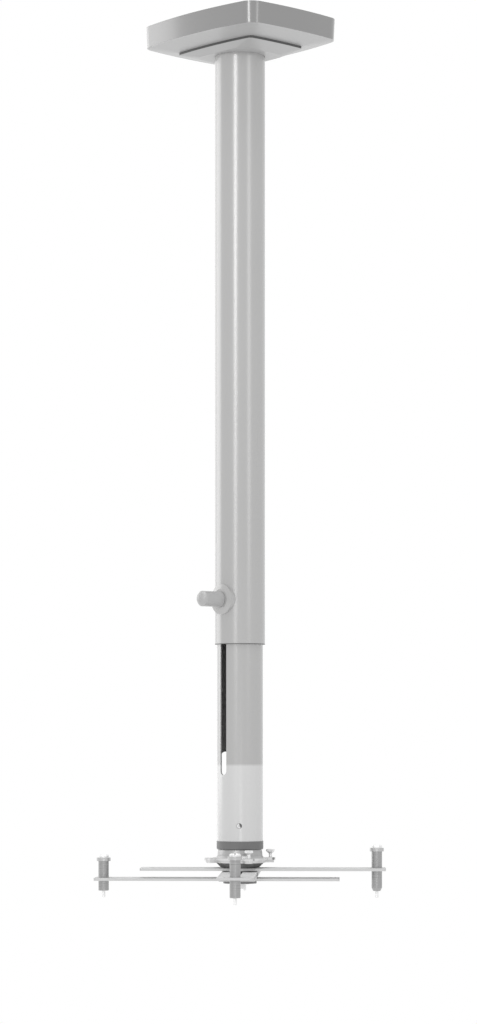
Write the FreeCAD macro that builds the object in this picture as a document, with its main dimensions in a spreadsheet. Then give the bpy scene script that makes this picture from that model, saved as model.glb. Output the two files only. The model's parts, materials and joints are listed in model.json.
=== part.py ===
import FreeCAD, Part
import math
import os
import re
import Sketcher
from FreeCAD import Placement, Rotation, Vector

# Telescopic ceiling mount: ceiling plate and cover, two sliding tubes, ball joint, four slotted arms.
# Origin at the centre of the ceiling plate's top face, +Z up, millimetres.

SIZES = {
    "running_gap": 0.05, "loose_gap": 0.3,
    "plate_length": 150, "plate_width": 100, "plate_thickness": 4,
    "plate_hole_diameter": 7, "plate_hole_spacing_long": 120, "plate_hole_spacing_short": 70,
    "cable_hole_diameter": 50, "socket_screw_circle": 76,
    "socket_flange_diameter": 90, "socket_flange_thickness": 4, "socket_depth": 42,
    "small_screw_diameter": 5, "small_head_diameter": 9, "small_head_height": 2.6, "fixing_screw_depth": 14,
    "outer_tube_diameter": 60, "outer_tube_wall": 1.25, "outer_tube_length": 737.8,
    "guide_wall": 1.2, "guide_height": 40, "guide_flange": 0.9, "glide_height": 30,
    "inner_tube_wall": 2, "inner_tube_length": 555, "inner_tube_reach": 236.4,
    "slot_width": 10, "slot_margin": 55.8, "slot_rise": 79.2,
    "window_width": 24, "window_height": 60, "window_rise": 107,
    "cover_half_length": 100.7, "cover_half_width": 79.9, "cover_bow_radius": 540, "cover_corner_radius": 18,
    "cover_wall": 2.5, "cover_floor": 2, "cover_draft": 1.2, "cover_gap": 2,
    "cover_rim": 27, "cover_slope": 6, "cover_step": 3, "cover_neck": 6,
    "panel_half_length": 65.7, "panel_half_width": 46.8, "panel_corner_radius": 6,
    "neck_half_length": 43, "neck_half_width": 37, "neck_corner_radius": 14,
    "grip_ring_wall": 3, "grip_ring_height": 5,
    "clamp_height": 52.4, "clamp_screw_diameter": 8,
    "boss_diameter": 36, "boss_rim": 0.8, "boss_face_diameter": 24, "boss_height": 3,
    "knob_diameter": 18.4, "knob_length": 33, "knob_dome": 5,
    "clamp_nut_width": 16, "clamp_nut_height": 30, "clamp_nut_thickness": 6,
    "cap_height": 10, "cap_lip": 0.5, "cap_plug": 35, "cap_mouth_diameter": 53.4, "cap_chamfer": 1,
    "plug_screw_rise": 18.6, "plug_screw_diameter": 6, "plug_screw_length": 11, "plug_screw_depth": 2.2,
    "ball_drop": 7.8, "ball_diameter": 54, "ball_wall": 3, "ball_top_hole": 26, "ball_gap": 0.3,
    "liner_wall": 1, "washer_diameter": 36, "washer_rise": 13, "pivot_bolt_diameter": 8,
    "pivot_head_diameter": 13, "pivot_head_height": 5, "pivot_nut_width": 13, "pivot_nut_height": 6.5,
    "bell_skirt_rise": 0.3, "bell_skirt_diameter": 57.6,
    "bell_flange_drop": 2.2, "bell_flange_diameter": 66, "bell_flange_thickness": 3,
    "ear_circle": 76, "ear_diameter": 12, "hub_ear_diameter": 9,
    "thumb_screw_diameter": 4, "thumb_head_diameter": 9.4, "thumb_head_height": 3, "thumb_head_taper": 2.2,
    "thumb_neck": 6.8, "hub_plate_diameter": 60, "hub_plate_thickness": 3,
    "cone_top_diameter": 57.6, "cone_bottom_diameter": 46.8, "cone_height": 5.3,
    "centre_bolt_diameter": 8, "hex_width": 13, "hex_height": 5.3, "centre_nut_height": 6.5,
    "clamp_disc_diameter": 40, "clamp_disc_thickness": 3.5,
    "arm_thickness": 3, "arm_width": 42, "arm_outer": 174.6, "arm_inner": 119.4, "arm_corner_radius": 3,
    "arm_slot_width": 8.4, "arm_slot_inner": 109,
    "guide_diameter": 40, "guide_thickness": 0.96, "stack_gap": 0.02, "key_margin": 2, "key_length": 8,
    "post_radius": 164, "sleeve_diameter": 12.6, "sleeve_height": 24, "sleeve_spigot": 2.7,
    "sleeve_flange_diameter": 16.8, "sleeve_flange_height": 4,
    "post_screw_diameter": 4, "post_screw_relief": 0.25, "post_screw_reach": 8,
    "post_head_diameter": 13, "post_head_height": 3.4, "post_head_chamfer": 1.2,
    "post_slot_width": 2.4, "post_slot_depth": 1.6,
    "base_drop": 28.5, "spacer_taper": 4, "spacer_edge": 0.5, "spacer_foot_inset": 2,
}

# Radii and drops below the ceiling that follow from the sizes.
OUTER = "(outer_tube_diameter/2)"
OUTER_BORE = "(outer_tube_diameter/2 - outer_tube_wall)"
INNER = f"({OUTER_BORE} - guide_wall - running_gap)"
INNER_BORE = f"({INNER} - inner_tube_wall)"
SCREW = "(small_screw_diameter/2)"
CLAMP = "(clamp_screw_diameter/2)"
CABLE = "(cable_hole_diameter/2)"
BALL = "(ball_diameter/2)"
BALL_BORE = f"({BALL} - ball_wall)"
SEAT = f"({BALL} + 2*ball_gap + liner_wall)"
MOUTH = "(cap_mouth_diameter/2)"
TOP_HOLE = "(ball_top_hole/2)"
PIVOT = "(pivot_bolt_diameter/2)"
CENTRE = "(centre_bolt_diameter/2)"
EAR = "(ear_circle/2)"
THUMB = "(thumb_screw_diameter/2)"
POST = "(post_screw_diameter/2)"
TUBE_TOP = "(plate_thickness + socket_flange_thickness)"
OUTER_END = f"({TUBE_TOP} + outer_tube_length)"
CLAMP_DROP = f"({OUTER_END} - clamp_height)"
INNER_END = f"({OUTER_END} + inner_tube_reach)"
INNER_TOP = f"({INNER_END} - inner_tube_length)"
PLUG_TOP = f"({INNER_END} - cap_plug)"
CAP_END = f"({INNER_END} + cap_height)"
BALL_CENTRE = f"({CAP_END} + ball_drop)"
FLANGE_TOP = f"({BALL_CENTRE} + bell_flange_drop)"
HUB_TOP = f"({FLANGE_TOP} + bell_flange_thickness)"
CONE_TOP = f"({HUB_TOP} + hub_plate_thickness)"
STACK_TOP = f"({CONE_TOP} + cone_height)"
PITCH = "(arm_thickness + guide_thickness + 2*stack_gap)"
DISC_TOP = f"({STACK_TOP} + 4*{PITCH} + stack_gap)"
NUT_TOP = f"({DISC_TOP} + clamp_disc_thickness)"
BASE = f"({STACK_TOP} + base_drop)"

EAR_ANGLES = {"right": 63, "front": -27, "back": 153, "left": 243}
ARM_ANGLES = {"right": 45, "front": -45, "back": 135, "left": 225}

doc = FreeCAD.newDocument("ceiling_mount")
sheet = doc.addObject("Spreadsheet::Sheet", "sizes")
for row, (alias, number) in enumerate(SIZES.items(), start=1):
    sheet.set(f"A{row}", alias.replace("_", " "))
    sheet.set(f"B{row}", str(number))
    sheet.setAlias(f"B{row}", alias)
doc.recompute()

WORDS = re.compile(r"\b(" + "|".join(SIZES) + r")\b")
NODES = []
made = {}


def formula(text):
    return WORDS.sub(r"sizes.\1", str(text))


def number(text):
    return float(sheet.evalExpression(formula(text)))


def bind(thing, prop, text):
    thing.setExpression(prop, formula(text))


def fresh(kind, label):
    made[label] = made.get(label, 0) + 1
    thing = doc.addObject(kind, label if made[label] == 1 else f"{label}_{made[label]}")
    return thing


def place(thing, base, turn=None):
    if turn is not None:
        thing.Placement = Placement(Vector(0, 0, 0), turn)
    for axis, text in zip("xyz", base):
        bind(thing, f"Placement.Base.{axis}", text)
    return thing


def cylinder(radius, height, base, turn=None):
    thing = fresh("Part::Cylinder", "round")
    bind(thing, "Radius", radius)
    bind(thing, "Height", height)
    return place(thing, base, turn)


def block(length, width, height, base, turn=None):
    thing = fresh("Part::Box", "block")
    bind(thing, "Length", length)
    bind(thing, "Width", width)
    bind(thing, "Height", height)
    return place(thing, base, turn)


def hexagon(across, height, base):
    thing = fresh("Part::Prism", "hexagon")
    thing.Polygon = 6
    bind(thing, "Circumradius", f"{across}/2/cos(30 deg)")
    bind(thing, "Height", height)
    return place(thing, base)


def joined(kind, parts):
    thing = fresh(kind, "joined")
    thing.Shapes = parts
    return thing


def fuse(*parts):
    return joined("Part::MultiFuse", list(parts))


def common(*parts):
    return joined("Part::MultiCommon", list(parts))


def cut(base, *tools):
    thing = fresh("Part::Cut", "cut")
    thing.Base = base
    thing.Tool = tools[0] if len(tools) == 1 else fuse(*tools)
    return thing


def group(*parts):
    thing = fresh("Part::Compound", "group")
    thing.Links = list(parts)
    return thing


def node(label, thing):
    thing.Label = label
    NODES.append(thing)
    return thing


def along(angle, distance, level):
    way = math.radians(angle)
    return (f"({distance})*{math.cos(way):.9f}", f"({distance})*{math.sin(way):.9f}", level)


def facing(angle):
    way = math.radians(angle)
    return Rotation(Vector(0, 0, 1), Vector(math.cos(way), math.sin(way), 0))


def spoke(radius, angle, near, far, drop):
    """A round bar that runs level, from near to far out from the column's axis."""
    return cylinder(radius, f"{far} - {near}", along(angle, near, f"-{drop}"), facing(angle))


def sketch_on(body, role, lift="0", spin=0):
    plane = next(feature for feature in body.Origin.OriginFeatures if feature.Role == role)
    sketch = fresh("Sketcher::SketchObject", "sketch")
    body.addObject(sketch)
    sketch.AttachmentSupport = [(plane, "")]
    sketch.MapMode = "FlatFace"
    sketch.AttachmentOffset = Placement(Vector(0, 0, 0), Rotation(Vector(0, 0, 1), spin))
    bind(sketch, "AttachmentOffset.Base.z", lift)
    return sketch


def hold(sketch, kind, ends, text):
    value = number(text)
    index = sketch.addConstraint(Sketcher.Constraint(kind, *ends, value))
    bind(sketch, f"Constraints[{index}]", text)


def pin(sketch, geometry, end, x, y):
    for kind, text, axis in (("DistanceX", x, -2), ("DistanceY", y, -1)):
        if text == "0":
            sketch.addConstraint(Sketcher.Constraint("PointOnObject", geometry, end, axis))
        else:
            hold(sketch, kind, (-1, 1, geometry, end), text)


def outline(sketch, points, arcs=()):
    spots = [(number(x), number(y)) for x, y in points]
    starts = []
    ends = []
    for index, (x1, y1) in enumerate(spots):
        x2, y2 = spots[(index + 1) % len(spots)]
        if index in arcs:
            centre = (x2 * x2 + y2 * y2 - x1 * x1 - y1 * y1) / (2 * (y2 - y1))
            first = math.atan2(y1 - centre, x1)
            last = math.atan2(y2 - centre, x2)
            circle = Part.Circle(Vector(0, centre, 0), Vector(0, 0, 1), math.hypot(x1, y1 - centre))
            edge = sketch.addGeometry(Part.ArcOfCircle(circle, min(first, last), max(first, last)))
            sketch.addConstraint(Sketcher.Constraint("PointOnObject", edge, 3, -2))
            starts.append((edge, 1 if first < last else 2))
            ends.append((edge, 2 if first < last else 1))
        else:
            edge = sketch.addGeometry(Part.LineSegment(Vector(x1, y1, 0), Vector(x2, y2, 0)))
            starts.append((edge, 1))
            ends.append((edge, 2))
    for index, (x, y) in enumerate(points):
        sketch.addConstraint(Sketcher.Constraint("Coincident", *ends[index - 1], *starts[index]))
        pin(sketch, *starts[index], x, y)


def stadium(sketch, near, far, radius):
    left = number(near)
    right = number(far)
    half = number(radius)
    up = Vector(0, 0, 1)
    quarter = math.pi / 2
    edges = [
        Part.ArcOfCircle(Part.Circle(Vector(right, 0, 0), up, half), -quarter, quarter),
        Part.LineSegment(Vector(right, half, 0), Vector(left, half, 0)),
        Part.ArcOfCircle(Part.Circle(Vector(left, 0, 0), up, half), quarter, 3 * quarter),
        Part.LineSegment(Vector(left, -half, 0), Vector(right, -half, 0)),
    ]
    ids = [sketch.addGeometry(edge) for edge in edges]
    for index in range(4):
        sketch.addConstraint(Sketcher.Constraint("Tangent", ids[index], 2, ids[(index + 1) % 4], 1))
    for edge, text in ((ids[0], far), (ids[2], near)):
        pin(sketch, edge, 3, text, "0")
    hold(sketch, "Radius", (ids[0],), radius)
    sketch.addConstraint(Sketcher.Constraint("Equal", ids[0], ids[2]))


def circles(sketch, radius, centres):
    for x, y in centres:
        centre = Vector(number(x), number(y), 0)
        edge = sketch.addGeometry(Part.Circle(centre, Vector(0, 0, 1), number(radius)))
        pin(sketch, edge, 3, x, y)
        hold(sketch, "Radius", (edge,), radius)


def feature(body, kind, sketch, **texts):
    thing = fresh(f"PartDesign::{kind}", kind.lower())
    body.addObject(thing)
    thing.Profile = sketch
    for prop, text in texts.items():
        bind(thing, prop, text)
    body.Tip = thing
    return thing


def turned(points, arcs=()):
    body = fresh("PartDesign::Body", "turned")
    sketch = sketch_on(body, "XZ_Plane")
    outline(sketch, points, arcs)
    solid = feature(body, "Revolution", sketch)
    solid.ReferenceAxis = (sketch, ["V_Axis"])
    solid.Angle = 360
    return body


def ring(inner, outer, top, bottom):
    return turned([(inner, f"-{bottom}"), (outer, f"-{bottom}"), (outer, f"-{top}"), (inner, f"-{top}")])


def bowed(sketch, half_length, half_width, bow, corner):
    length, width, sweep, rounding = (number(text) for text in (half_length, half_width, bow, corner))
    long_centre = Vector(0, width - sweep, 0)
    short_centre = Vector(length - sweep, 0, 0)
    gap = short_centre - long_centre
    middle = (long_centre + short_centre) / 2
    side = math.sqrt((sweep - rounding) ** 2 - (gap.Length / 2) ** 2)
    knuckle = middle + Vector(-gap.y, gap.x, 0) * (side / gap.Length)
    if knuckle.x < 0:
        knuckle = middle - Vector(-gap.y, gap.x, 0) * (side / gap.Length)
    up = Vector(0, 0, 1)
    tilt_long = math.atan2(knuckle.y - long_centre.y, knuckle.x)
    tilt_short = math.atan2(knuckle.y, knuckle.x - short_centre.x)
    half = math.pi / 2
    spread = half - tilt_long
    pieces = [
        (short_centre, sweep, -tilt_short, tilt_short),
        (knuckle, rounding, tilt_short, tilt_long),
        (long_centre, sweep, half - spread, half + spread),
        (Vector(-knuckle.x, knuckle.y, 0), rounding, math.pi - tilt_long, math.pi - tilt_short),
        (-short_centre, sweep, math.pi - tilt_short, math.pi + tilt_short),
        (-knuckle, rounding, math.pi + tilt_short, math.pi + tilt_long),
        (-long_centre, sweep, -half - spread, -half + spread),
        (Vector(knuckle.x, -knuckle.y, 0), rounding, -tilt_long, -tilt_short),
    ]
    ids = []
    for centre, radius, first, last in pieces:
        ids.append(sketch.addGeometry(Part.ArcOfCircle(Part.Circle(centre, up, radius), first, last)))
    for index in range(8):
        sketch.addConstraint(Sketcher.Constraint("Tangent", ids[index], 2, ids[(index + 1) % 8], 1))
    for index, (x, y) in zip((0, 2, 4, 6), (
            (f"{half_length} - {bow}", "0"), ("0", f"{half_width} - {bow}"),
            (f"{bow} - {half_length}", "0"), ("0", f"{bow} - {half_width}"))):
        pin(sketch, ids[index], 3, x, y)
        hold(sketch, "Radius", (ids[index],), bow)
    for index in (1, 3, 5, 7):
        hold(sketch, "Radius", (ids[index],), corner)


# Ceiling plate with four ceiling holes, a cable hole and the screw holes of the tube socket.
plate = block("plate_length", "plate_width", "plate_thickness",
              ("-plate_length/2", "-plate_width/2", "-plate_thickness"))
drills = [cylinder("cable_hole_diameter/2", "3*plate_thickness", ("0", "0", "-2*plate_thickness"))]
for side in (-1, 1):
    for end in (-1, 1):
        spot = (f"{side}*plate_hole_spacing_long/2", f"{end}*plate_hole_spacing_short/2",
                "-2*plate_thickness")
        drills.append(cylinder("plate_hole_diameter/2", "3*plate_thickness", spot))
SOCKET_ANGLES = (45, 135, 225, 315)
for angle in SOCKET_ANGLES:
    spot = along(angle, "socket_screw_circle/2", "-2*plate_thickness")
    drills.append(cylinder(SCREW, "3*plate_thickness", spot))
node("ceiling_plate", cut(plate, *drills))

# Tube socket: flange under the plate and a spigot inside the outer tube, with the screws of both.
SPIGOT = f"({OUTER_BORE} - running_gap)"
FIXING_DROP = f"({TUBE_TOP} + fixing_screw_depth)"
FAR_OUT = "(outer_tube_diameter)"
socket = turned([
    (CABLE, "-plate_thickness"), (CABLE, f"-({TUBE_TOP} + socket_depth)"),
    (SPIGOT, f"-({TUBE_TOP} + socket_depth)"), (SPIGOT, f"-{TUBE_TOP}"),
    ("socket_flange_diameter/2", f"-{TUBE_TOP}"), ("socket_flange_diameter/2", "-plate_thickness")])
socket_drills = []
socket_screws = []
for angle in SOCKET_ANGLES:
    spot = along(angle, "socket_screw_circle/2", f"-2*{TUBE_TOP}")
    socket_drills.append(cylinder(SCREW, f"2*{TUBE_TOP}", spot))
    shank = cylinder(SCREW, TUBE_TOP, along(angle, "socket_screw_circle/2", f"-{TUBE_TOP}"))
    head = cylinder("small_head_diameter/2", "small_head_height",
                    along(angle, "socket_screw_circle/2", f"-{TUBE_TOP} - small_head_height"))
    socket_screws.append(fuse(shank, head))
tube_drills = []
fixing_screws = []
for angle in (90, 210, 330):
    socket_drills.append(spoke(SCREW, angle, f"({CABLE}/2)", FAR_OUT, FIXING_DROP))
    tube_drills.append(spoke(f"{SCREW} + loose_gap", angle, CABLE, FAR_OUT, FIXING_DROP))
    shank = spoke(SCREW, angle, f"({CABLE} + loose_gap)", OUTER, FIXING_DROP)
    head = spoke("small_head_diameter/2", angle, OUTER, f"({OUTER} + small_head_height)", FIXING_DROP)
    fixing_screws.append(fuse(shank, head))
node("tube_socket", cut(socket, *socket_drills))
node("socket_screws", group(*socket_screws))
node("tube_fixing_screws", group(*fixing_screws))

# Outer tube with the hole of the clamp screw, and the flanged guide ring in its lower end.
CLAMP_WAY = -90
tube_drills.append(spoke(f"{CLAMP} + loose_gap", CLAMP_WAY, INNER, FAR_OUT, CLAMP_DROP))
node("outer_tube", cut(ring(OUTER_BORE, OUTER, TUBE_TOP, OUTER_END), *tube_drills))
GUIDE_BORE = f"({INNER} + running_gap)"
GUIDE_TOP = f"({OUTER_END} - guide_height)"
GUIDE_END = f"({OUTER_END} + guide_flange)"
node("guide_ring", turned([
    (GUIDE_BORE, f"-{GUIDE_END}"), (OUTER, f"-{GUIDE_END}"), (OUTER, f"-{OUTER_END}"),
    (OUTER_BORE, f"-{OUTER_END}"), (OUTER_BORE, f"-{GUIDE_TOP}"), (GUIDE_BORE, f"-{GUIDE_TOP}")]))

# Boss, knob and screw of the height clamp, built along local Z and turned to point away from the tube.
OUTWARD = Rotation(Vector(1, 0, 0), 90)
BOSS_BORE = f"({CLAMP} + loose_gap)"
BOSS_FACE = f"({OUTER} + boss_height)"
boss = turned([
    (BOSS_BORE, f"{OUTER}/2"), ("boss_diameter/2", f"{OUTER}/2"), ("boss_diameter/2", f"{OUTER} + boss_rim"),
    ("boss_face_diameter/2", BOSS_FACE), (BOSS_BORE, BOSS_FACE)])
place(boss, ("0", "0", f"-{CLAMP_DROP}"), OUTWARD)
saddle = cylinder(OUTER, "2*boss_diameter", ("0", "0", f"-{CLAMP_DROP} - boss_diameter"))
node("clamp_boss", cut(boss, saddle))
KNOB_FOOT = f"({BOSS_FACE} + loose_gap)"
KNOB_TIP = f"({KNOB_FOOT} + knob_length)"
KNOB = "(knob_diameter/2)"
SCREW_TOP = f"({KNOB_FOOT} + knob_length/2)"
knob = turned([
    (CLAMP, KNOB_FOOT), (KNOB, KNOB_FOOT), (KNOB, f"{KNOB_TIP} - knob_dome"), ("0", KNOB_TIP),
    ("0", SCREW_TOP), (CLAMP, SCREW_TOP)], arcs=(2,))
node("clamp_knob", place(knob, ("0", "0", f"-{CLAMP_DROP}"), OUTWARD))

# Clamp nut: a curved block inside the inner tube, with a square neck that rides in the tube's slot.
NUT_FACE = f"({INNER_BORE} - loose_gap)"
NECK = "(slot_width - loose_gap)"
nut_round = cylinder(NUT_FACE, "clamp_nut_height", ("0", "0", f"-{CLAMP_DROP} - clamp_nut_height/2"))
nut_block = block("clamp_nut_width", "clamp_nut_thickness", "clamp_nut_height",
                  ("-clamp_nut_width/2", f"-{NUT_FACE}", f"-{CLAMP_DROP} - clamp_nut_height/2"))
nut_neck = block(NECK, "clamp_nut_thickness/2 + inner_tube_wall", NECK,
                 (f"-{NECK}/2", f"running_gap - {INNER}", f"-{CLAMP_DROP} - {NECK}/2"))
nut_drill = spoke(f"{CLAMP} + running_gap", CLAMP_WAY, f"({CABLE}/2)", FAR_OUT, CLAMP_DROP)
node("clamp_nut", cut(fuse(common(nut_round, nut_block), nut_neck), nut_drill))
SCREW_START = f"({NUT_FACE} - clamp_nut_thickness - 1)"
node("clamp_screw", spoke(CLAMP, CLAMP_WAY, SCREW_START, SCREW_TOP, CLAMP_DROP))

# Inner tube: clamp slot on the front, cable window on the side, one hole for the plug screw.
PLUG_WAY = -45
WINDOW_WAY = 180
SLOT = "(slot_width/2)"
SLOT_TOP = f"({INNER_TOP} + slot_margin + {SLOT})"
SLOT_FOOT = f"({INNER_END} - slot_rise - {SLOT})"
WINDOW = "(window_width/2)"
WINDOW_TOP = f"({INNER_END} - window_rise + {WINDOW})"
WINDOW_FOOT = f"({INNER_END} - window_rise + window_height - {WINDOW})"
PLUG = "(plug_screw_diameter/2)"
PLUG_DROP = f"({INNER_END} - plug_screw_rise)"
slot_tools = [
    block("slot_width", OUTER, f"{SLOT_FOOT} - {SLOT_TOP}", (f"-{SLOT}", f"-{OUTER}", f"-{SLOT_FOOT}")),
    spoke(SLOT, CLAMP_WAY, "0", OUTER, SLOT_TOP), spoke(SLOT, CLAMP_WAY, "0", OUTER, SLOT_FOOT)]
window_tools = [
    block(OUTER, "window_width", f"{WINDOW_FOOT} - {WINDOW_TOP}",
          (f"-{OUTER}", f"-{WINDOW}", f"-{WINDOW_FOOT}")),
    spoke(WINDOW, WINDOW_WAY, "0", OUTER, WINDOW_TOP), spoke(WINDOW, WINDOW_WAY, "0", OUTER, WINDOW_FOOT)]
plug_hole = spoke(f"{PLUG} + loose_gap", PLUG_WAY, CABLE, FAR_OUT, PLUG_DROP)
node("inner_tube", cut(ring(INNER_BORE, INNER, INNER_TOP, INNER_END), *slot_tools, *window_tools, plug_hole))
node("glide_ring", ring(INNER, f"({OUTER_BORE} - running_gap)", INNER_TOP, f"({INNER_TOP} + glide_height)"))

# End cap with a plug inside the tube and a round seat below, its screw and the pivot nut.
PLUG_R = f"({INNER_BORE} - running_gap)"
CROWN = f"({BALL} + loose_gap)"
LIP = f"({INNER} + cap_lip)"
CROWN_R = f"sqrt({SEAT}^2 - {CROWN}^2)"
SEAT_RISE = f"sqrt({SEAT}^2 - {MOUTH}^2)"
PIVOT_BORE = f"({PIVOT} + running_gap)"
cap = turned([
    (PIVOT_BORE, f"-({BALL_CENTRE} - {CROWN})"), (CROWN_R, f"-({BALL_CENTRE} - {CROWN})"),
    (MOUTH, f"-({BALL_CENTRE} - {SEAT_RISE})"), (MOUTH, f"-{CAP_END}"),
    (f"{LIP} - cap_chamfer", f"-{CAP_END}"), (LIP, f"-({CAP_END} - cap_chamfer)"), (LIP, f"-{INNER_END}"),
    (PLUG_R, f"-{INNER_END}"), (PLUG_R, f"-{PLUG_TOP}"), (PIVOT_BORE, f"-{PLUG_TOP}")], arcs=(1,))
SCREW_FACE = f"({INNER} - plug_screw_depth)"
SCREW_TIP = f"({SCREW_FACE} - plug_screw_length)"
node("end_cap", cut(cap, spoke(PLUG, PLUG_WAY, f"({SCREW_TIP} - loose_gap)", FAR_OUT, PLUG_DROP)))
plug_socket = spoke(f"{PLUG}/2", PLUG_WAY, f"({SCREW_FACE} - {PLUG})", FAR_OUT, PLUG_DROP)
node("plug_screw", cut(spoke(PLUG, PLUG_WAY, SCREW_TIP, SCREW_FACE, PLUG_DROP), plug_socket))
pivot_nut = hexagon("pivot_nut_width", "pivot_nut_height", ("0", "0", f"-{PLUG_TOP}"))
node("pivot_nut", cut(pivot_nut, cylinder(PIVOT_BORE, "pivot_nut_height", ("0", "0", f"-{PLUG_TOP}"))))

# Pivot bolt with a round-topped washer inside the ball bell; the bell hangs on the washer.
WASHER = f"({BALL_BORE} - ball_gap)"
WASHER_FOOT = f"({BALL_CENTRE} - washer_rise)"
bolt_shank = cylinder(PIVOT, f"{WASHER_FOOT} - {PLUG_TOP} + pivot_nut_height + {PIVOT}/2",
                      ("0", "0", f"-{WASHER_FOOT}"))
bolt_head = cylinder("pivot_head_diameter/2", "pivot_head_height",
                     ("0", "0", f"-{WASHER_FOOT} - pivot_head_height"))
node("pivot_bolt", fuse(bolt_shank, bolt_head))
washer_edge = f"sqrt({WASHER}^2 - (washer_diameter/2)^2)"
washer_top = f"sqrt({WASHER}^2 - {PIVOT}^2)"
node("ball_washer", turned([
    (PIVOT, f"-{WASHER_FOOT}"), ("washer_diameter/2", f"-{WASHER_FOOT}"),
    ("washer_diameter/2", f"-({BALL_CENTRE} - {washer_edge})"), (PIVOT, f"-({BALL_CENTRE} - {washer_top})")],
    arcs=(2,)))

# Thin liner between the ball bell and the seat of the end cap.
LINER_IN = f"({BALL} + ball_gap)"
LINER_OUT = f"({LINER_IN} + liner_wall)"
liner = []
for radius, first, last in ((LINER_IN, 36, 55), (LINER_OUT, 55, 36)):
    for polar in (first, last):
        liner.append((f"{radius}*sin({polar} deg)", f"{radius}*cos({polar} deg) - {BALL_CENTRE}"))
node("ball_liner", turned(liner, arcs=(0, 2)))

# Ball bell: round shell, flared skirt and eared flange.
bell = turned([
    (TOP_HOLE, f"sqrt({BALL}^2 - {TOP_HOLE}^2) - {BALL_CENTRE}"),
    (f"sqrt({BALL}^2 - bell_skirt_rise^2)", f"bell_skirt_rise - {BALL_CENTRE}"),
    ("bell_skirt_diameter/2", f"-{FLANGE_TOP}"),
    ("bell_flange_diameter/2", f"-{FLANGE_TOP}"), ("bell_flange_diameter/2", f"-{HUB_TOP}"),
    (f"sqrt({BALL_BORE}^2 - (bell_flange_drop + bell_flange_thickness)^2)", f"-{HUB_TOP}"),
    (TOP_HOLE, f"sqrt({BALL_BORE}^2 - {TOP_HOLE}^2) - {BALL_CENTRE}")], arcs=(0, 5))


def ears(body, level, thickness, diameter, hole, root):
    lobes = sketch_on(body, "XY_Plane", f"-{level} - {thickness}", EAR_ANGLES["front"])
    stadium(lobes, root, EAR, f"{diameter}/2")
    pad = feature(body, "Pad", lobes, Length=thickness)
    pattern = fresh("PartDesign::PolarPattern", "ears")
    body.addObject(pattern)
    pattern.Originals = [pad]
    pattern.Axis = (lobes, ["N_Axis"])
    pattern.Angle = 360
    pattern.Occurrences = 4
    body.Tip = pattern
    holes = sketch_on(body, "XY_Plane", f"-{level} - {thickness}", EAR_ANGLES["front"])
    circles(holes, hole, [(EAR, "0"), ("0", EAR), (f"-{EAR}", "0"), ("0", f"-{EAR}")])
    pocket = feature(body, "Pocket", holes, Length=f"2*{thickness}")
    pocket.Reversed = True
    return body


node("ball_bell", ears(bell, FLANGE_TOP, "bell_flange_thickness", "ear_diameter", f"{THUMB} + loose_gap",
                       "bell_flange_diameter/2 - bell_flange_thickness"))

# Hub plate under the bell, dark cone below it.
hub = ring(f"({CENTRE} + running_gap)", "hub_plate_diameter/2", HUB_TOP, CONE_TOP)
node("hub_plate", ears(hub, HUB_TOP, "hub_plate_thickness", "hub_ear_diameter", f"{THUMB} + running_gap",
                       "hub_plate_diameter/2 - hub_plate_thickness"))
node("hub_cone", turned([
    (f"{CENTRE} + running_gap", f"-{CONE_TOP}"), ("cone_top_diameter/2", f"-{CONE_TOP}"),
    ("cone_bottom_diameter/2", f"-{STACK_TOP}"), (f"{CENTRE} + running_gap", f"-{STACK_TOP}")]))
for name in ("right", "front", "back"):
    screw = turned([
        ("0", f"-{CONE_TOP}"), (THUMB, f"-{CONE_TOP}"),
        (THUMB, f"thumb_neck - thumb_head_taper - {FLANGE_TOP}"),
        ("thumb_head_diameter/2", f"thumb_neck - {FLANGE_TOP}"),
        ("thumb_head_diameter/2", f"thumb_neck + thumb_head_height - {FLANGE_TOP}"),
        ("0", f"thumb_neck + thumb_head_height - {FLANGE_TOP}")])
    node(f"thumb_screw_{name}", place(screw, along(EAR_ANGLES[name], EAR, "0")))
node("ear_pin", cylinder(THUMB, f"{CONE_TOP} - {FLANGE_TOP}",
                         along(EAR_ANGLES["left"], EAR, f"-{CONE_TOP}")))

# Centre bolt, clamp disc and nut that hold the stack of arms.
centre_head = hexagon("hex_width", "hex_height", ("0", "0", f"-{HUB_TOP}"))
centre_shank = cylinder(CENTRE, f"{NUT_TOP} - {HUB_TOP} + centre_nut_height",
                        ("0", "0", f"-{NUT_TOP} - centre_nut_height"))
node("centre_bolt", fuse(centre_head, centre_shank))
node("clamp_disc", ring(CENTRE, "clamp_disc_diameter/2", DISC_TOP, NUT_TOP))
nut_foot = ("0", "0", f"-{NUT_TOP} - centre_nut_height")
centre_nut = hexagon("hex_width", "centre_nut_height", nut_foot)
node("centre_nut", cut(centre_nut, cylinder(CENTRE, "centre_nut_height", nut_foot)))

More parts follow.
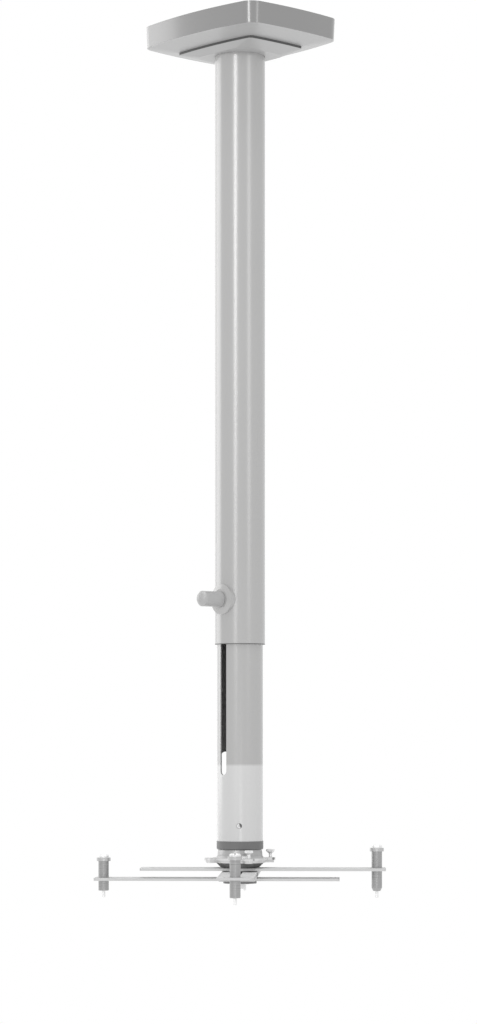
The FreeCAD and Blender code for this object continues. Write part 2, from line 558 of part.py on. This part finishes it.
# Four arms: keyed friction washer, slotted arm, and a post of sleeve, spacer and screw at the slot's end.
for level, (name, angle) in enumerate(ARM_ANGLES.items()):
    spin = Rotation(Vector(0, 0, 1), angle)
    washer_top = f"({STACK_TOP} + {level}*{PITCH} + stack_gap)"
    arm_top = f"({washer_top} + guide_thickness + stack_gap)"
    arm_foot = f"({arm_top} + arm_thickness)"
    washer = ring(f"({CENTRE} + running_gap)", "guide_diameter/2", washer_top,
                  f"({washer_top} + guide_thickness)")
    for side in (-1, 1):
        keys = sketch_on(washer, "XY_Plane", f"-{arm_foot} + loose_gap")
        half = "(arm_slot_width/2 - running_gap)"
        near = f"{side}*({CENTRE} + key_margin)"
        far = f"{side}*({CENTRE} + key_margin + key_length)"
        outline(keys, [(near, f"-{half}"), (far, f"-{half}"), (far, half), (near, half)])
        feature(washer, "Pad", keys, Length="arm_thickness + stack_gap + guide_thickness/2 - loose_gap")
    node(f"arm_washer_{name}", place(washer, ("0", "0", "0"), spin))

    arm = fresh("PartDesign::Body", "arm")
    plan = sketch_on(arm, "XY_Plane", f"-{arm_foot}")
    outline(plan, [("-arm_inner", "-arm_width/2"), ("arm_outer", "-arm_width/2"),
                   ("arm_outer", "arm_width/2"), ("-arm_inner", "arm_width/2")])
    pad = feature(arm, "Pad", plan, Length="arm_thickness")
    doc.recompute()
    upright = [f"Edge{index}" for index, edge in enumerate(pad.Shape.Edges, start=1)
               if abs(edge.BoundBox.ZLength - number("arm_thickness")) < 0.001]
    rounding = fresh("PartDesign::Fillet", "rounding")
    arm.addObject(rounding)
    rounding.Base = (pad, upright)
    bind(rounding, "Radius", "arm_corner_radius")
    arm.Tip = rounding
    slot = sketch_on(arm, "XY_Plane", f"-{arm_foot}")
    stadium(slot, "arm_slot_width/2 - arm_slot_inner", "post_radius", "arm_slot_width/2")
    pocket = feature(arm, "Pocket", slot, Length="2*arm_thickness")
    pocket.Reversed = True
    node(f"arm_{name}", place(arm, ("0", "0", "0"), spin))

    sleeve_top = f"({arm_top} - sleeve_height)"
    spot = along(angle, "post_radius", "0")
    bore = f"({POST} + running_gap)"
    spigot = "(arm_slot_width/2 - 2*running_gap)"
    sleeve = turned([
        (bore, f"-{sleeve_top}"), (bore, f"-({arm_top} + sleeve_spigot)"),
        (spigot, f"-({arm_top} + sleeve_spigot)"), (spigot, f"-{arm_top}"),
        ("sleeve_diameter/2", f"-{arm_top}"),
        ("sleeve_diameter/2", f"-({sleeve_top} + sleeve_flange_height)"),
        ("sleeve_flange_diameter/2", f"-({sleeve_top} + sleeve_flange_height)"),
        ("sleeve_flange_diameter/2", f"-{sleeve_top}")])
    node(f"post_sleeve_{name}", place(sleeve, spot))
    inset = "spacer_foot_inset" if name == "right" else "spacer_edge"
    taper = "spacer_taper" if name == "right" else "spacer_edge"
    spacer = turned([
        (bore, f"-{arm_foot}"), (bore, f"-{BASE}"), (f"sleeve_diameter/2 - {inset}", f"-{BASE}"),
        ("sleeve_diameter/2", f"{taper} - {BASE}"), ("sleeve_diameter/2", f"-{arm_foot}")])
    node(f"post_spacer_{name}", place(spacer, spot))
    relief = f"({POST} - post_screw_relief)"
    head_top = f"(post_head_height - {sleeve_top})"
    screw = turned([
        ("0", f"-{BASE} - post_screw_reach"), (POST, f"-{BASE} - post_screw_reach"), (POST, f"-{BASE}"),
        (relief, f"-{BASE}"), (relief, f"-{sleeve_top}"), ("post_head_diameter/2", f"-{sleeve_top}"),
        ("post_head_diameter/2", f"{head_top} - post_head_chamfer"),
        ("post_head_diameter/2 - post_head_chamfer", head_top), ("0", head_top)])
    driver = sketch_on(screw, "XY_Plane", head_top)
    half = "(post_slot_width/2)"
    end = "(post_head_diameter/2 + loose_gap)"
    outline(driver, [(f"-{end}", f"-{half}"), (end, f"-{half}"), (end, half), (f"-{end}", half)])
    feature(screw, "Pocket", driver, Length="post_slot_depth")
    node(f"post_screw_{name}", place(screw, spot, spin))

# Ceiling cover: bowed walls with draft, sloping underside, raised inner panel, open towards the ceiling.
cover = fresh("PartDesign::Body", "cover")
RIM = ("cover_half_length", "cover_half_width", "cover_bow_radius", "cover_corner_radius")
WALL_FOOT = tuple(f"({text} - cover_draft)" for text in RIM)
PANEL = ("panel_half_length", "panel_half_width", "cover_bow_radius", "panel_corner_radius")
NECK_PLAN = ("neck_half_length", "neck_half_width", "cover_bow_radius", "neck_corner_radius")
FOOT = "(cover_rim + cover_slope + cover_step + cover_neck)"


def plan_at(sizes, drop, inset):
    sketch = sketch_on(cover, "XY_Plane", f"-({drop})")
    bowed(sketch, *(f"({text} - {inset})" for text in sizes))
    return sketch


def shell(kind, inset, lift):
    levels = [("cover_gap", RIM), (f"cover_rim - {lift}", WALL_FOOT),
              (f"cover_rim + cover_slope - {lift}", PANEL),
              (f"{FOOT} - cover_neck - {lift}", PANEL), (f"{FOOT} - {lift}", NECK_PLAN)]
    for (top, upper), (foot, lower) in zip(levels, levels[1:]):
        loft = feature(cover, kind, plan_at(upper, top, inset))
        loft.Sections = [plan_at(lower, foot, inset)]
        loft.Ruled = True


shell("AdditiveLoft", "0", "0")
shell("SubtractiveLoft", "cover_wall", "cover_floor")
mouth = sketch_on(cover, "XY_Plane", f"-{FOOT}")
circles(mouth, f"{OUTER} + loose_gap", [("0", "0")])
opening = feature(cover, "Pocket", mouth, Length=FOOT)
opening.Reversed = True
node("ceiling_cover", cover)
grip = f"({FOOT} - cover_floor)"
node("cover_grip_ring", ring(f"({OUTER} + running_gap)", f"({OUTER} + grip_ring_wall)",
                             f"({grip} - grip_ring_height)", grip))

doc.recompute()
faults = []
for thing in doc.Objects:
    if "Invalid" in thing.State or "Error" in thing.State:
        faults.append(f"{thing.Label}: {thing.State}")
for thing in NODES:
    if thing.Shape.isNull() or not thing.Shape.isValid() or not thing.Shape.Solids:
        faults.append(f"{thing.Label}: no valid solid")
if faults:
    raise RuntimeError("; ".join(faults))
os.makedirs("parts", exist_ok=True)
for thing in NODES:
    thing.Shape.exportStep(f"parts/{thing.Label}.step")
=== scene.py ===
import json
import math

import bmesh
import bpy
from mathutils import Matrix, Vector


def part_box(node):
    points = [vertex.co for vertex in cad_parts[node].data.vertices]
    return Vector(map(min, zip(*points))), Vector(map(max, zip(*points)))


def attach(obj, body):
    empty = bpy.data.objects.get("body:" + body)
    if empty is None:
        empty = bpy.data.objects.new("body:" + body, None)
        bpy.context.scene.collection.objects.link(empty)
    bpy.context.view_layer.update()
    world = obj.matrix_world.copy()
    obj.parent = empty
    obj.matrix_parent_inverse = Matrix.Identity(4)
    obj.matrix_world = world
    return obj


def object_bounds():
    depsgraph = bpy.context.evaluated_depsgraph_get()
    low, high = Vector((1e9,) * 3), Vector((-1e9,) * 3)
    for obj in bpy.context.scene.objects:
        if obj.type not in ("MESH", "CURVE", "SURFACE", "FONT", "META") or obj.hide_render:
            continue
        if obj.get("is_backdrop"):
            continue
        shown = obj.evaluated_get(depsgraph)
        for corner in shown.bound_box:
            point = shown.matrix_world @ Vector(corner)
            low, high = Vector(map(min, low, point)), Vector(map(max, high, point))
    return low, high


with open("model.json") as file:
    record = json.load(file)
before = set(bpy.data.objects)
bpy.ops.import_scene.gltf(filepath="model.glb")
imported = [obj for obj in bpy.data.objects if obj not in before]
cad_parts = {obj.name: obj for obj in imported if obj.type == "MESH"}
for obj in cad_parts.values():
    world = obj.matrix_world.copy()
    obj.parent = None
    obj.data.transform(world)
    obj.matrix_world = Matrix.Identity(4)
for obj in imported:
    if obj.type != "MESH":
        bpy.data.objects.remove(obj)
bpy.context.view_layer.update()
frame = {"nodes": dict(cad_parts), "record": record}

NODES = frame["nodes"]
UP = Vector((0, 0, 1))

# Level directions to the right of the view and towards the camera.
VIEW = math.radians(47)
SIDE = Vector((math.cos(VIEW), math.sin(VIEW), 0))
TOWARDS = Vector((math.sin(VIEW), -math.cos(VIEW), 0))


class Wire:
    """A shader socket that can be added, multiplied and mixed."""

    def __init__(self, tree, socket=None):
        self.tree = tree
        self.socket = socket

    def node(self, kind, *inputs, out=0, **settings):
        """A new node: its settings first, then a value or a link for each socket in turn."""
        made = self.tree.nodes.new(kind)
        for name, value in settings.items():
            setattr(made, name, value)
        for index, value in enumerate(inputs):
            if isinstance(value, Wire):
                self.tree.links.new(value.socket, made.inputs[index])
            elif value is not None:
                made.inputs[index].default_value = value
        return Wire(self.tree, made.outputs[out] if made.outputs else None)

    def math(self, operation, *inputs):
        return self.node("ShaderNodeMath", *inputs, operation=operation)

    def __add__(self, other):
        return self.math("ADD", self, other)

    def __sub__(self, other):
        return self.math("SUBTRACT", self, other)

    def __rsub__(self, other):
        return self.math("SUBTRACT", other, self)

    def __mul__(self, other):
        return self.math("MULTIPLY", self, other)

    __radd__ = __add__
    __rmul__ = __mul__

    def ramp(self, low, high, to_low=0.0, to_high=1.0):
        return self.node("ShaderNodeMapRange", self, low, high, to_low, to_high)

    def band(self, low, high, edge):
        """Full between low and high, and fading out past them over the width of an edge."""
        return self.ramp(high + edge, high) * self.ramp(low - edge, low)

    def mix(self, colour, other):
        """From one colour to the other; their sockets come after five for numbers and vectors."""
        return self.node("ShaderNodeMix", self, *[None] * 5, colour, other, out=2, data_type="RGBA")

    def noise(self, scale, detail):
        return self.node("ShaderNodeTexNoise", self, None, scale, detail)

    def bump(self, strength, distance):
        return self.node("ShaderNodeBump", strength, distance, None, self)

    def stretch(self, x, y, z):
        return self.node("ShaderNodeVectorMath", self, (x, y, z), operation="MULTIPLY")

    def height(self):
        return self.node("ShaderNodeSeparateXYZ", self, out=2)

    def away_from(self, x, y):
        """Level distance from the upright axes at plus and minus x and y."""
        folded = self.node("ShaderNodeVectorMath", self, operation="ABSOLUTE")
        offset = folded.node("ShaderNodeVectorMath", folded, (x, y, 0), operation="SUBTRACT")
        level = offset.stretch(1, 1, 0)
        return level.node("ShaderNodeVectorMath", level, out=1, operation="LENGTH")

    def along(self, way):
        return self.node("ShaderNodeVectorMath", self, way, out=1, operation="DOT_PRODUCT")


def material(name, paint):
    made = bpy.data.materials.new(name)
    made.use_nodes = True
    tree = made.node_tree
    shader = tree.nodes["Principled BSDF"]
    place = Wire(tree).node("ShaderNodeTexCoord", out="Object")
    for socket, value in paint(place).items():
        if isinstance(value, Wire):
            tree.links.new(value.socket, shader.inputs[socket])
        else:
            shader.inputs[socket].default_value = value
    return made


def rgb(level, warm=0.0):
    return (level * (1 + warm), level, level * (1 - warm), 1)


def corners(node):
    """A node's lowest and highest corners."""
    return [Vector(corner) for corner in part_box(node)]


def satin(level, spread, metallic, roughness, coat=0.0, warm=0.0):
    """Sprayed silver: fine flake and slow cloudiness over an even grey."""
    flakes_a_metre = 2600
    clouds_a_metre = 4
    flake_share = 0.35
    uneven = 0.03

    def paint(place):
        flake = place.noise(flakes_a_metre, 2)
        cloud = place.noise(clouds_a_metre, 1)
        mixed = flake * flake_share + cloud * (1 - flake_share)
        shade = mixed.ramp(0.2, 0.8).mix(rgb(level - spread, warm), rgb(level + spread, warm))
        return {"Base Color": shade,
                "Roughness": cloud.ramp(0.1, 0.9, roughness - uneven, roughness + uneven),
                "Metallic": metallic, "Coat Weight": coat, "Coat Roughness": 0.15}
    return paint


def column(level, roughness):
    """The tubes' satin silver, with painted light at the foot and painted shade from the drilled hole
    down.
    """
    upper = satin(level, 0.012, 0.25, roughness, coat=0.25, warm=0.004)
    foot_line = -0.8895
    foot_blend = 0.003
    foot_light_gain = 1.40
    inner_skin = 0.0273
    skin_blend = 0.0002
    hole_top = -0.93
    hole_blend = 0.01
    hole_shade_level = 0.10

    def paint(place):
        looks = upper(place)
        drop = place.height()
        # Painted light: below the foot line the column's colour is painted lighter, as if lit from below.
        foot = drop.ramp(foot_line, foot_line - foot_blend)
        # Painted shade: inside the tube, from the drilled hole's top down, the colour is painted
        # near-black.
        inside = place.away_from(0, 0).ramp(inner_skin, inner_skin - skin_blend)
        hole_shade = inside * drop.ramp(hole_top, hole_top - hole_blend)
        lower = foot.mix(looks["Base Color"], rgb(level * foot_light_gain))
        looks["Base Color"] = hole_shade.mix(lower, rgb(hole_shade_level))
        return looks
    return paint


def moulding(level, roughness):
    """The cover's moulding: coated walls, a duller underside with painted light, and painted shade round
    its inner panel.
    """
    coated = 1.0
    flake = 0.32
    walls = satin(level, 0.010, flake, roughness, coat=coated, warm=0.004)
    wall_foot = -0.0270
    wall_blend = 0.0002
    under_light_gain = 1.58
    under_flake = 0.08
    under_rougher = 0.08
    panel_top = -0.0331
    panel_foot = -0.0359
    panel_blend = 0.0001
    step_shade_level = 0.08

    def paint(place):
        looks = walls(place)
        drop = place.height()
        under = drop.ramp(wall_foot, wall_foot - wall_blend)
        step_shade = drop.band(panel_foot, panel_top, panel_blend)
        # Painted light: the underside's colour is painted lighter, as if lit from below; its roughness,
        # metallic and coat are its own duller finish.
        dull = under.mix(looks["Base Color"], rgb(level * under_light_gain))
        # Painted shade: the step round the inner panel is painted near-black.
        looks["Base Color"] = step_shade.mix(dull, rgb(step_shade_level))
        looks["Roughness"] = looks["Roughness"] + under * under_rougher
        looks["Metallic"] = under.ramp(0, 1, flake, under_flake)
        looks["Coat Weight"] = coated * (1 - under)
        return looks
    return paint


def turned(level, spread, roughness, metallic):
    """Turned or drawn metal with fine lines round its axis."""
    lines_a_metre = 1500
    slow_a_metre = 30
    uneven = 0.03

    def paint(place):
        lines = place.stretch(slow_a_metre, slow_a_metre, lines_a_metre).noise(1, 1)
        return {"Base Color": lines.ramp(0.3, 0.7).mix(rgb(level - spread), rgb(level + spread)),
                "Roughness": lines.ramp(0.3, 0.7, roughness - uneven, roughness + uneven),
                "Metallic": metallic, "Normal": lines.bump(0.02, 0.0001)}
    return paint


def cast(level, roughness):
    """The ball bell: a darker domed cup above a brighter turned flange."""
    bright = turned(level, 0.02, roughness, 0.6)
    dome_foot = -1.0030
    dome_blend = 0.0015
    dome_share = 0.61

    def paint(place):
        looks = bright(place)
        dome = place.height().ramp(dome_foot, dome_foot + dome_blend)
        looks["Base Color"] = dome.mix(looks["Base Color"], rgb(level * dome_share))
        return looks
    return paint


def polished(level, roughness):
    """Bright screw steel, in shade on the upper right of the sunk plug screw."""
    steel = turned(level, 0.02, roughness, 0.7)
    low, high = corners("plug_screw")
    middle = (low + high) / 2
    way = SIDE * 0.94 + UP * 0.34
    hole_blend = 0.0005
    shade_start = -0.0002
    shade_end = 0.0010
    shade_level = 0.12

    def paint(place):
        looks = steel(place)
        beside = place.height().band(low.z, high.z, hole_blend)
        reach = place.along(way) - middle.dot(way)
        shade = reach.ramp(shade_start, shade_end) * beside
        looks["Base Color"] = shade.mix(looks["Base Color"], rgb(shade_level))
        return looks
    return paint


def sleeve(level, roughness):
    """A post's darker sleeve below a brighter turned flange."""
    dull = turned(level, 0.008, roughness, 0.7)
    low, high = corners("post_sleeve_right")
    across = (low.x + high.x) / 2
    flange_start = 0.0069
    flange_blend = 0.0003
    flange_gain = 1.4

    def paint(place):
        looks = dull(place)
        flange = place.away_from(across, across).ramp(flange_start, flange_start + flange_blend)
        looks["Base Color"] = flange.mix(looks["Base Color"], rgb(level * flange_gain))
        return looks
    return paint


def moulded(level, spread, roughness):
    """Moulded plastic or rubber with a fine grain."""
    grains_a_metre = 1400
    clouds_a_metre = 14
    uneven = 0.05

    def paint(place):
        grain = place.noise(grains_a_metre, 2)
        cloud = place.noise(clouds_a_metre, 3)
        return {"Base Color": cloud.ramp(0.35, 0.65).mix(rgb(level - spread), rgb(level + spread)),
                "Roughness": grain.ramp(0.3, 0.7, roughness - uneven, roughness + uneven),
                "Normal": grain.bump(0.08, 0.0002)}
    return paint


LOOKS = {
    "tube_paint": column(level=0.42, roughness=0.25),
    "cover_plastic": moulding(level=0.23, roughness=0.24),
    "knob_plastic": satin(level=0.405, spread=0.012, metallic=0.15, roughness=0.40),
    "dark_plastic": moulded(level=0.145, spread=0.012, roughness=0.45),
    "nylon": moulded(level=0.55, spread=0.02, roughness=0.5),
    "rubber": moulded(level=0.02, spread=0.005, roughness=0.7),
    "bright_metal": cast(level=0.67, roughness=0.36),
    "arm_paint": satin(level=0.55, spread=0.012, metallic=0.10, roughness=0.55),
    "post_metal": sleeve(level=0.34, roughness=0.30),
    "fastener_steel": turned(level=0.75, spread=0.02, roughness=0.35, metallic=0.6),
    "bright_steel": polished(level=0.80, roughness=0.34),
}
MATERIALS = {name: material(name, paint) for name, paint in LOOKS.items()}
# The lock screws' blackened steel; its near-black is also painted shade, standing for the holes they sit
# sunk in.
BLACKENED_AND_SHADED = material("blackened_and_shaded_steel", turned(level=0.025, spread=0.008, roughness=0.45, metallic=0.3))

for entry in frame["record"]["subparts"]:
    mesh = NODES[entry["node"]].data
    mesh.materials.clear()
    mesh.materials.append(MATERIALS[entry["material_slot"]])


def piece(name, built, body, finish):
    """A finished mesh that rides a body, with the record's finish where it has one."""
    bmesh.ops.recalc_face_normals(built, faces=built.faces)
    mesh = bpy.data.meshes.new(name)
    built.to_mesh(mesh)
    built.free()
    mesh.materials.append(finish)
    made = bpy.data.objects.new(name, mesh)
    bpy.context.scene.collection.objects.link(made)
    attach(made, body)


STUD = 0.002


def thread(name, spot, foot, top, body):
    """A screw thread: a ridge that winds round a stud and sinks into it at both ends."""
    around = 28
    rows_a_turn = 4
    root = STUD - 0.0001
    depth = 0.00025
    pitch = 0.0007
    length = top - foot
    rows = int(length / pitch * rows_a_turn) + 1
    built = bmesh.new()
    bmesh.ops.create_cone(built, segments=around, radius1=root, radius2=root, depth=length)
    upright = [edge for edge in built.edges if not edge.is_boundary]
    bmesh.ops.subdivide_edges(built, edges=upright, cuts=rows - 1, use_grid_fill=True)
    for vert in built.verts:
        turn = math.atan2(vert.co.y, vert.co.x) / (2 * math.pi)
        phase = ((vert.co.z + length / 2) / pitch - turn) % 1.0
        ridge = depth * (1 - abs(2 * phase - 1))
        if vert.is_boundary:
            ridge = -depth / 2
        vert.co.xy = vert.co.xy.normalized() * (root + ridge)
    for face in built.faces:
        face.smooth = True
    bmesh.ops.translate(built, verts=built.verts, vec=(spot.x, spot.y, (foot + top) / 2))
    piece(name, built, body, MATERIALS["bright_steel"])


def knurl(name, spot, radius, foot, top, body):
    """Upright grip ribs round a screw's head."""
    ribs = 30
    width = 0.00055
    head = Matrix.Translation((spot.x, spot.y, (foot + top) / 2))
    on_edge = Matrix.Rotation(math.radians(45), 4, "Z")
    size = Matrix.Diagonal((width, width, top - foot, 1))
    rib = Matrix.Translation((radius, 0, 0)) @ on_edge @ size
    built = bmesh.new()
    for index in range(ribs):
        turn = Matrix.Rotation(2 * math.pi * index / ribs, 4, "Z")
        bmesh.ops.create_cube(built, size=1, matrix=head @ turn @ rib)
    piece(name, built, body, MATERIALS["bright_steel"])


def lock_screw(name, spot, turn):
    """A small socket screw in an ear's edge, which locks the thumb screw; turn is its way out, level."""
    radius = 0.0013
    rim = radius * 0.4
    ear_radius = 0.006
    sunk = 0.0012
    proud = 0.0003
    socket_depth = 0.0008
    built = bmesh.new()
    bmesh.ops.create_cone(built, cap_ends=True, segments=24, radius1=radius, radius2=radius,
                          depth=sunk + proud)
    face = max(built.faces, key=lambda candidate: candidate.calc_center_median().z)
    bmesh.ops.inset_individual(built, faces=[face], thickness=rim, depth=0)
    pushed = bmesh.ops.extrude_discrete_faces(built, faces=[face])["faces"][0]
    bmesh.ops.translate(built, verts=pushed.verts, vec=UP * -socket_depth)
    outward = Matrix.Rotation(turn, 4, "Z") @ Matrix.Rotation(math.radians(90), 4, "Y")
    middle = Matrix.Translation(UP * (ear_radius + (proud - sunk) / 2))
    bmesh.ops.transform(built, matrix=Matrix.Translation(spot) @ outward @ middle, verts=built.verts)
    piece(name, built, "head", BLACKENED_AND_SHADED)


# Each stud is threaded from its plain tip up to the foot of its sleeve.
STUD_TIP = 0.0004
SLEEVE_FOOT = -1.042
SLEEVE_GAP = 0.0003
for side in ("right", "front", "back", "left"):
    low, high = corners(f"post_screw_{side}")
    thread(f"stud_thread_{side}", (low + high) / 2, low.z + STUD_TIP, SLEEVE_FOOT - SLEEVE_GAP,
           f"post_{side}")

# Each thumb screw is threaded above the flange, ribbed round its head and locked from its ear's edge.
FLANGE_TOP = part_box("ear_pin")[1][2]
FLANGE_MIDDLE = (FLANGE_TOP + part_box("ball_bell")[0][2]) / 2
FLANGE_GAP = 0.0002
HEAD_HEIGHT = 0.0055
GRIP_FOOT = 0.0026
GRIP_TOP = 0.0004
LOCK_TURNS = {"right": -69, "front": 69, "back": -69}
for side, lock_turn in LOCK_TURNS.items():
    low, high = corners(f"thumb_screw_{side}")
    spot = (low + high) / 2
    head_radius = (high.x - low.x) / 2
    thread(f"thumb_thread_{side}", spot, FLANGE_TOP + FLANGE_GAP, high.z - HEAD_HEIGHT, f"thumb_{side}")
    knurl(f"thumb_grip_{side}", spot, head_radius, high.z - GRIP_FOOT, high.z - GRIP_TOP, f"thumb_{side}")
    ear = Vector((spot.x, spot.y, FLANGE_MIDDLE))
    lock_screw(f"lock_screw_{side}", ear, math.atan2(spot.y, spot.x) + math.radians(lock_turn))

# A pale room, which the camera and the metal see as white.
ROOM_LEVEL = 0.64
scene = bpy.context.scene
scene.view_settings.view_transform = "Standard"
world = bpy.data.worlds.new("studio")
scene.world = world
world.use_nodes = True
world.node_tree.nodes.clear()
seen = Wire(world.node_tree).node("ShaderNodeLightPath", out="Is Camera Ray")
for ray in ("Is Glossy Ray", "Is Transmission Ray"):
    seen = seen.math("MAXIMUM", seen, seen.node("ShaderNodeLightPath", out=ray))
room = seen.node("ShaderNodeBackground", rgb(1.0), ROOM_LEVEL)
white = seen.node("ShaderNodeBackground", rgb(1.0), 1.0)
surroundings = seen.node("ShaderNodeMixShader", seen, room, white)
surroundings.node("ShaderNodeOutputWorld", surroundings)


def panel(name, turn, distance, height, width, tall, brightness, aim):
    """A soft panel; turn is its angle to the right of the camera, seen from the column."""
    way = TOWARDS * math.cos(math.radians(turn)) + SIDE * math.sin(math.radians(turn))
    light = bpy.data.lights.new(name, "AREA")
    light.shape = "RECTANGLE"
    light.size = width
    light.size_y = tall
    light.energy = brightness * math.pi * width * tall
    lamp = bpy.data.objects.new(name, light)
    scene.collection.objects.link(lamp)
    lamp.location = way * distance + UP * height
    lamp.rotation_euler = (UP * aim - lamp.location).to_track_quat("-Z", "Y").to_euler()
    lamp.visible_camera = False


# Each panel's turn, distance, height, width, own height, brightness and the height it is aimed at.
PANELS = {
    "left_panel": (-21, 3.2, 0.75, 0.7, 1.5, 4.6, 0.0),
    "left_lower_panel": (-21, 3.2, -0.32, 0.7, 0.66, 1.9, 0.0),
    "right_panel": (42, 3.2, 0.30, 0.8, 1.6, 1.25, -0.3),
    "far_left_panel": (-117, 3.2, 0.2, 2.0, 2.4, 1.3, -0.3),
    "back_left_panel": (-150, 3.2, -0.2, 1.7, 3.0, 0.4, -0.5),
    "top_panel": (0, 0.4, 2.5, 3.0, 3.0, 2.2, -1.0),
    "low_panel": (4, 3.2, -1.40, 0.6, 0.55, 2.0, -1.0),
}
for name, placing in PANELS.items():
    panel(name, *placing)


def pale(place):
    """The floor's even white, with a slow unevenness."""
    return {"Base Color": place.noise(3, 2).ramp(0.3, 0.7).mix(rgb(0.70), rgb(0.73)), "Roughness": 0.9,
            "Emission Color": rgb(1.0), "Emission Strength": 0.68}


FLOOR_LEVEL = -6
FLOOR_SIZE = 60
bpy.ops.mesh.primitive_plane_add(size=FLOOR_SIZE, location=UP * FLOOR_LEVEL)
floor = bpy.context.object
floor.name = "floor"
floor.data.materials.append(material("pale_floor", pale))
floor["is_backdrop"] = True

# A level view with the lens shifted up; its focal length is in pixels of the frame's height.
FOCAL_PIXELS = 2960
FRAME_PIXELS = 1024
CAMERA_DISTANCE = 3.552
CAMERA_LEFT = 0.0018
CAMERA_LEVEL = -0.860
lens = bpy.data.cameras.new("camera")
lens.sensor_width = 36
lens.lens = lens.sensor_width * FOCAL_PIXELS / FRAME_PIXELS
lens.shift_y = 0.2217
lens.dof.use_dof = False
camera = bpy.data.objects.new("camera", lens)
scene.collection.objects.link(camera)
camera.location = TOWARDS * CAMERA_DISTANCE - SIDE * CAMERA_LEFT + UP * CAMERA_LEVEL
camera.rotation_euler = (math.radians(90), 0, VIEW)
scene.camera = camera

low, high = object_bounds()
